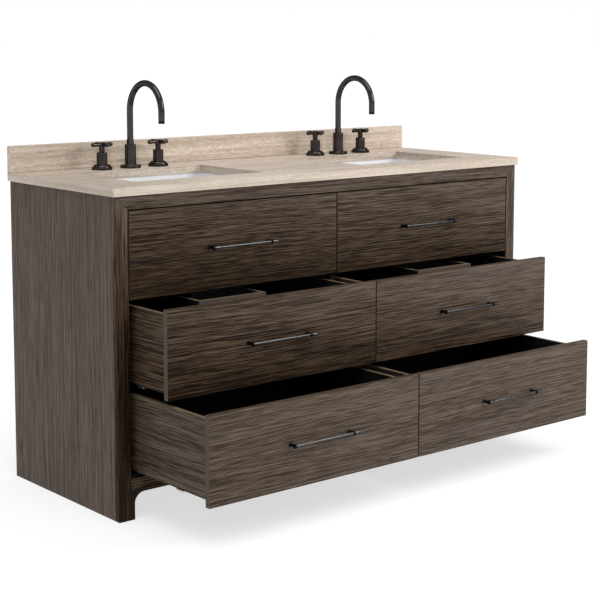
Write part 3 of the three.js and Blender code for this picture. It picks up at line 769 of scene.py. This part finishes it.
def build_pull(row, side, body):
    """Bar pull: posts with rosettes, collars, a thin bar with two thicker sleeves, and its screws."""
    node = f"pull_{row}_{side}"
    low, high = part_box(node)
    face, z = high.y, (low.z + high.z) / 2
    collar_radius = 6.2
    bar_y = low.y + collar_radius * MM
    near, far = high.x - 220 * MM, high.x - 20 * MM
    post = outline(0.6, (0, (0, 0), (6, 0), (6, 1.6), (4.6, 2.6), (3.9, 4)), (face - bar_y, (3.9, 0), (0, 0)))
    collar = outline(0.8, (0, (3, -2.5), (collar_radius, -2.5), (collar_radius, 2.5), (3, 2.5)))
    sleeve = outline(0.4, (0, (3.5, 2.4), (4.7, 2.4), (4.7, 19.8), (3.5, 19.8)))
    screw = outline(0.3, (0, (0, 0), (4.2, 0), (4.2, -1.2), (2.4, -2.2), (0.9, -2.3), (0.9, -1.4), (0, -1.4)))
    for label, x in (("near", near), ("far", far)):
        turned(f"{node}_post_{label}", post, (x, face, z), body, POST_METAL, Y, 40,
               [node] if label == "near" else ())
        turned(f"{node}_collar_{label}", collar, (x, bar_y, z), body, POST_METAL, X, 40)
        turned(f"{node}_sleeve_{label}", sleeve, (x, bar_y, z), body, PULL_METAL, X, 40)
        turned(f"{node}_screw_{label}", screw, (x, face + PULL_TO_SCREW, z), body, ZINC, Y, 28)
    bar = outline(0.8, (0, (0, 0), (3.75, 0)), (high.x - near, (3.75, 0), (0, 0)))
    turned(f"{node}_bar", bar, (near, bar_y, z), body, PULL_METAL, X, 40)


def build_slides(row, side, body):
    """The fixed rails, and the moving half of each slide with its clip, latch and carriage."""
    box_low, box_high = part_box(f"drawer_box_{row}_{side}")
    sheet_low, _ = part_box(f"drawer_bottom_{row}_{side}")
    top, foot = sheet_low.z - FACE_GAP, box_low.z + 0.5 * MM
    half, inner, tip = 7.5 * MM, 6.3 * MM, 4.5 * MM  # of a runner's section: half widths of its sides and lips
    roof, ledge = top - RUNNER_METAL, foot + RUNNER_METAL
    front, back = box_low.y + 4 * MM, box_high.y - 14 * MM
    clip, latch = box_low.y + 121 * MM, front + 2 * MM
    for place in ("outer", "inner"):
        rail = f"slide_rail_{row}_{side}_{place}"
        ease_cad(rail, BLACK_ZINC, 0.3 * MM)
        rail_low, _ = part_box(rail)
        at_left = (place == "outer") == (side == "left")
        start_x, way = (box_low.x, 1) if at_left else (box_high.x, -1)
        centre = start_x + way * (BOX_WALL + 11.3 * MM)
        clip_x = start_x + way * BOX_WALL / 2
        points = [(centre + x, z) for x, z in (
            (-half, foot), (-half, top), (half, top), (half, foot), (tip, foot), (tip, ledge), (inner, ledge),
            (inner, roof), (-inner, roof), (-inner, ledge), (-tip, ledge), (-tip, foot))]
        prism(f"slide_runner_{row}_{side}_{place}", points, front, back, body, Y, X, ZINC, edge=0.3 * MM)
        for label, x, reach, start, end, under, over, material, ease in (
            ("clip", clip_x, 5.5, clip, clip + 32 * MM, box_low.z - 6 * MM, box_low.z - 1.5 * MM, ZINC, 0.8),
            ("clip_stem", clip_x, 3, clip + 18 * MM, clip + 28 * MM, box_low.z - 2 * MM, box_low.z,
             POLYMER, 0.5),
            ("latch", centre, 5.5, latch, latch + 48 * MM, foot + 1.3 * MM, top - 1.6 * MM, POLYMER, 1.0),
            ("carriage", centre, 6.5, back - 24 * MM, back - 1 * MM, rail_low.z + 2.6 * MM, top - 1.4 * MM,
             POLYMER, 1.2),
        ):
            board(f"slide_{label}_{row}_{side}_{place}", (x - reach * MM, start, under),
                  (x + reach * MM, end, over), body, Y, X, material, edge=ease * MM)


def build_drawers():
    for side in SIDES:
        build_front(f"false_front_top_{side}", "top", side, "cabinet")
        build_pull("top", side, "cabinet")
        for row in ("middle", "bottom"):
            body = f"drawer_{row}_{side}"
            build_front(f"drawer_front_{row}_{side}", row, side, body)
            build_box(row, side, body)
            ease_cad(f"drawer_bottom_{row}_{side}", LAMINATE, THIN_EDGE)
            build_pull(row, side, body)
            build_slides(row, side, body)


# ---------------------------------------------------------------- counter, sinks and drains


def build_counter():
    ease_cad("countertop", STONE)
    ease_cad("backsplash", LIT_SPLASH_STONE)


def build_sink(side):
    """Rectangular undermount bowl: inside wall, sloped floor, drain hole and the rough outside."""
    node = f"sink_{side}"
    low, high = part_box(node)
    centre = (low + high) / 2
    top = high.z
    flange, shell, depth, hole = 26 * MM, 12 * MM, 150 * MM, 24 * MM
    in_x, in_y = (high.x - low.x) / 2 - flange, (high.y - low.y) / 2 - flange
    floor, under = top - depth, top - shell

    def ring(inset, radius, z):
        return rounded_ring(centre, in_x - inset, in_y - inset, radius, z)

    def rings_at(*table):
        return [ring(inset * MM, radius * MM, z) for inset, radius, z in table]

    def circle(radius, z):
        return rounded_ring(centre, radius, radius, radius, z)

    rings = rings_at((2, 9, top), (0.6, 9.5, top - 0.8 * MM), (0, 10, top - 3 * MM))
    for t in (0.25, 0.5, 0.75):
        rings.append(ring(8 * MM * t, (10 + 8 * t) * MM, top - 3 * MM - (depth - 38 * MM) * t))
    bend, base = 26 * MM, 8 * MM
    for i in range(7):
        angle = math.pi / 2 * i / 6
        inset = base + bend * (1 - math.cos(angle))
        rings.append(ring(inset, (18 + 9 * i / 6) * MM, floor + 6 * MM + bend * (1 - math.sin(angle))))
    start_x, start_y, start = in_x - base - bend, in_y - base - bend, 27 * MM
    end = hole + 9 * MM
    for t in (0.3, 0.6, 0.85):
        rings.append(rounded_ring(centre, start_x + (end - start_x) * t, start_y + (end - start_y) * t,
                                  start + (end - start) * t, floor + 6 * MM * (1 - t)))
    for grow, drop in ((9, 0), (1.5, 0.2), (0, 1.2), (0, 12), (16, 12)):
        rings.append(circle(hole + grow * MM, floor - drop * MM))
    rings += rings_at(
        (22, 44, floor - 7 * MM), (6, 36, floor + 1 * MM), (-2, 32, floor + 20 * MM), (-12, 22, under - 8 * MM),
        (-14, 22, under - 4 * MM), (-25, 29, under - 4 * MM), (-26, 30, under - 2.6 * MM),
        (-26, 30, top - 1.2 * MM), (-24.8, 29, top))
    finish_mesh(f"{node}_bowl", ring_loft(rings), [CERAMIC], "cabinet", [node], 50.0)
    seal = rings_at((-3, 12, top + 0.02 * MM), (-0.4, 10, top + 0.02 * MM), (0.3, 9.6, top + 0.15 * MM),
                    (-0.4, 10, top + 0.28 * MM), (-3, 12, top + 0.28 * MM))
    finish_mesh(f"{node}_sealant", ring_loft(seal), [CERAMIC], "cabinet")
    place = (centre.x, centre.y - in_y + 1.6 * MM, top - 34 * MM)
    trim = outline(0.5, (0, (6.5, 1), (11, 1), (11, -1.2), (9.5, -2.2), (6.5, -1.6)))
    turned(f"{node}_overflow_ring", trim, place, "cabinet", FAUCET_METAL, Y, 36)
    plug = outline(0.2, (0, (0, 1), (6.6, 1), (6.6, -0.2), (0, -0.1)))
    turned(f"{node}_overflow_hole", plug, place, "cabinet", POLYMER, Y, 32)


def build_drain(side):
    """Drain body with its locknut, and the stopper with its seal."""
    node = f"drain_{side}"
    low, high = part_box(node)
    top = high.z
    origin = below(node)
    drain = outline(0.7, (low.z, (14, 0), (16, 0)), (
        top, (16, -51), (20, -46), (20, -27.5), (20, -2.7), (31, -2.7), (30, -0.8), (27, 0), (23, -0.6),
        (20.5, -2.4), (20.5, -8), (17, -10.5), (14, -54)))
    turned(f"{node}_body", drain, origin, "cabinet", FAUCET_METAL, Z, 56, [node])
    nut = outline(0.6, (top - 15.3 * MM, (20.2, -12), (30, -12), (31, -9), (31, -3), (26, 0), (20.2, 0)))
    turned(f"{node}_locknut", nut, origin, "cabinet", POLYMER, Z, 8)
    node = f"drain_stopper_{side}"
    low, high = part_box(node)
    stopper = outline(0.9, (low.z, (0, 0), (4, 0)), (
        high.z, (4, -7), (9, -6.2), (18.4, -5.6), (19, -4.4), (18.6, -2.4), (14, -1), (7, -0.2), (0, 0)))
    turned(f"{node}_plug", stopper, origin, node, FAUCET_METAL, Z, 56, [node])
    seal = outline(0.4, (high.z, (18.6, -5.4), (19.6, -5.4), (19.6, -4.2), (18.6, -4.2)))
    turned(f"{node}_seal", seal, origin, node, POLYMER, Z, 56)


# ---------------------------------------------------------------- faucets


def build_spout(side):
    """Spout base, and the gooseneck with its collar, nozzle and aerator."""
    base = f"spout_base_{side}"
    low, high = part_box(base)
    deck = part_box("countertop")[1].z
    foot = deck + FACE_GAP
    origin = below(base)
    profile = outline(0.9, (low.z, (0, 0), (13.5, 0)), (
        foot, (13.5, 0), (30.2, 0), (30.5, 2.5), (30.5, 6.8), (29, 8.7), (17.4, 9), (16.5, 10.4)), (
        high.z, (16.5, -1.2), (15.2, 0), (0, 0)))
    turned(f"{base}_body", profile, origin, "cabinet", FAUCET_METAL, Z, 64, [base])
    mounting_nut(base, origin)
    node = f"spout_{side}"
    low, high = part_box(node)
    collar = outline(0.6, (low.z, (9, 0), (10.4, 0), (10.6, 1), (10.6, 13.6), (9.9, 15), (9, 15)))
    turned(f"{node}_collar", collar, origin, node, FAUCET_METAL, Z, 56)
    x, back_y, _ = origin
    radius = 9.3 * MM
    reach = back_y - low.y - radius
    arch = reach / 2
    arch_z = high.z - radius - arch
    start_z, tip_z = low.z + 1 * MM, deck + 137 * MM
    end_z = tip_z + 8 * MM
    rise, turns, fall, around = 6, 40, 4, 40  # steps up the neck, over the arch, down to the nozzle, and round
    path = [Vector((x, back_y, start_z + (arch_z - start_z) * t / rise)) for t in range(rise + 1)]
    for i in range(1, turns + 1):
        angle = math.pi * i / turns
        path.append(Vector((x, back_y - arch + arch * math.cos(angle), arch_z + arch * math.sin(angle))))
    path += [Vector((x, back_y - reach, arch_z + (end_z - arch_z) * t / fall)) for t in range(1, fall + 1)]

    def ring(index, size, lift=0.0):
        before, after = path[max(index - 1, 0)], path[min(index + 1, len(path) - 1)]
        ahead = (after - before).normalized()
        out = Vector((1, 0, 0))
        up = ahead.cross(out)
        centre = path[index] + ahead * lift
        points = []
        for k in range(around):
            angle = 2 * math.pi * k / around
            points.append(centre + size * (out * math.cos(angle) + up * math.sin(angle)))
        return points

    last = len(path) - 1
    rings = [ring(i, radius) for i in range(len(path))]
    rings += [ring(last, radius - 0.3 * MM, 0.4 * MM), ring(last, radius - 1.0 * MM, 0.6 * MM)]
    finish_mesh(f"{node}_tube", ring_loft(rings, solid=True), [FAUCET_METAL], node, [node])
    tip = (x, back_y - reach, tip_z)
    nozzle = outline(0.4, (0, (7.4, 0.4), (7.9, 0), (8.9, 0), (9.3, 0.5), (9.3, 6.2), (8.6, 7.0), (8.0, 8.2),
                           (7.4, 8.2)))
    turned(f"{node}_nozzle", nozzle, tip, node, POST_METAL)
    aerator = outline(0.2, (0, (0, 1.6), (2, 1.2), (2.2, 2.2), (4.2, 2.2), (4.4, 1.2), (5.6, 0.8), (7.3, 1.0),
                            (7.4, 6), (0, 6)))
    turned(f"{node}_aerator", aerator, tip, node, POLYMER, Z, 40)


def mounting_nut(node, origin):
    """Washer and nut that clamp a faucet body under the counter."""
    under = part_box("countertop")[0].z
    washer = outline(0.4, (under, (13.7, -3.2), (17.5, -3.2), (17.5, -0.4), (13.7, -0.4)))
    turned(f"{node}_washer", washer, origin, "cabinet", POLYMER, Z, 40)
    nut = outline(0.5, (under, (13.7, -14), (16, -14), (17.4, -12.5), (17.4, -5), (16.6, -3.6), (13.7, -3.6)))
    turned(f"{node}_nut", nut, origin, "cabinet", ZINC, Z, 6)


def build_valve(side, kind):
    """Valve body with a domed flange, and the cross handle on it."""
    node = f"valve_body_{side}_{kind}"
    low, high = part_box(node)
    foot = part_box("countertop")[1].z + FACE_GAP
    origin = below(node)
    steps = 8
    dome = []
    for i in range(steps + 1):
        angle = math.pi / 2 * i / steps
        dome.append((16.4 + 9.8 * math.cos(angle), 8.2 + 7.2 * math.sin(angle) ** 1.1))
    shell = outline(0.6, (low.z, (0, 0), (13.5, 0)), (
        foot, (13.5, 0), (29.8, 0), (30, 1), (30, 6.6), (29.2, 7.4), (27.2, 7.6), *dome, (15.5, 16)), (
        high.z, (15.5, -1.2), (14.2, 0), (0, 0)), steps=3)
    turned(f"{node}_shell", shell, origin, "cabinet", FAUCET_METAL, Z, 64, [node])
    mounting_nut(node, origin)
    node = f"cross_handle_{side}_{kind}"
    low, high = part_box(node)
    top, hub_low = high.z, high.z - 14 * MM
    hub = outline(0.5, (low.z, (0, 0), (8.0, 0)), (hub_low, (8.2, -1.2), (9.1, 0), (9.5, 1)), (
        top, (9.5, -1.6), (8.4, -0.5), (6.2, -0.5), (5.8, -1.1), (5.4, -0.4), (0, 0)))
    turned(f"{node}_hub", hub, origin, node, FAUCET_METAL, stands_for=[node])
    half = (high.x - low.x) / 2
    spoke = outline(1.4, (-half, (0, 0), (4.4, 0), (6.0, 1.8), (6.2, 5), (5.4, 14)), (
        half, (5.4, -14), (6.2, -5), (6.0, -1.8), (4.4, 0), (0, 0)))
    hub_middle = (*origin[:2], (hub_low + top) / 2)
    for label, axis in (("along", X), ("across", Y)):
        turned(f"{node}_spokes_{label}", spoke, hub_middle, node, FAUCET_METAL, axis, 36)


# ---------------------------------------------------------------- stage, light and camera


def build_stage():
    shape = bmesh.new()
    bmesh.ops.create_grid(shape, x_segments=2, y_segments=2, size=150.0)
    mesh = bpy.data.meshes.new("floor")
    shape.to_mesh(mesh)
    shape.free()
    mesh.materials.append(floor_finish())
    floor = bpy.data.objects.new("floor", mesh)
    bpy.context.scene.collection.objects.link(floor)
    floor.location.z = cad_low.z - 0.5 * MM


def add_lamp(light, power, direction):
    light.energy = power
    lamp = bpy.data.objects.new(light.name, light)
    bpy.context.scene.collection.objects.link(lamp)
    lamp.rotation_mode = "QUATERNION"
    lamp.rotation_quaternion = direction.to_track_quat("-Z", "Y")
    return lamp


def build_lights():
    from_centre = Vector((1.9, -2.6, 1.9))
    key = bpy.data.lights.new("key", "AREA")
    key.size = 1.5
    key.color = (1.0, 0.985, 0.965)
    add_lamp(key, 62.0, -from_centre).location = (cad_low + cad_high) / 2 + from_centre
    overhead = bpy.data.lights.new("overhead", "SUN")
    overhead.angle = math.radians(50)
    add_lamp(overhead, 1.5, Vector((0.12, 0.30, -0.95)))
    world = bpy.data.worlds.new("studio")
    bpy.context.scene.world = world
    world.use_nodes = True
    nodes, links = world.node_tree.nodes, world.node_tree.links
    nodes.clear()
    seen = nodes.new("ShaderNodeBackground")
    seen.inputs["Strength"].default_value = 1.0
    glow = nodes.new("ShaderNodeBackground")
    glow.inputs["Strength"].default_value = 0.5
    for background in (seen, glow):
        background.inputs["Color"].default_value = (1.0, 1.0, 1.0, 1.0)
    path = nodes.new("ShaderNodeLightPath")
    mix = nodes.new("ShaderNodeMixShader")
    out = nodes.new("ShaderNodeOutputWorld")
    links.new(path.outputs["Is Camera Ray"], mix.inputs["Fac"])
    links.new(glow.outputs[0], mix.inputs[1])
    links.new(seen.outputs[0], mix.inputs[2])
    links.new(mix.outputs[0], out.inputs["Surface"])
    bpy.context.scene.view_settings.view_transform = "Standard"


CAMERA_FROM_CORNER = Vector((-2.0393, -3.2174, 1.2759))  # from the cabinet's front left foot
CAMERA_AZIMUTH = 39.52  # degrees the view turns from +Y towards +X
CAMERA_PITCH = 6.50  # degrees below level
FOCAL_RATIO = 1482.9 / 600  # focal length over picture width
SENSOR = 36.0
LENS_SHIFT = -0.16  # the picture is taken level with part of the view moved down


def build_camera():
    camera = bpy.data.cameras.new("camera")
    camera.sensor_width = SENSOR
    camera.lens = SENSOR * FOCAL_RATIO
    camera.shift_y = LENS_SHIFT
    holder = bpy.data.objects.new("camera", camera)
    bpy.context.scene.collection.objects.link(holder)
    low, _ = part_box("frame_left_stile")
    holder.location = low + CAMERA_FROM_CORNER
    turn, dip = math.radians(CAMERA_AZIMUTH), math.radians(CAMERA_PITCH)
    ahead = Vector((math.sin(turn) * math.cos(dip), math.cos(turn) * math.cos(dip), -math.sin(dip)))
    holder.rotation_mode = "QUATERNION"
    holder.rotation_quaternion = ahead.to_track_quat("-Z", "Y")
    bpy.context.scene.camera = holder


# ---------------------------------------------------------------- assembly

build_case()
build_face_frame()
build_base()
build_drawers()
build_counter()
for side in SIDES:
    build_sink(side)
    build_drain(side)
    build_spout(side)
    for kind in ("hot", "cold"):
        build_valve(side, kind)
build_stage()
build_lights()
build_camera()
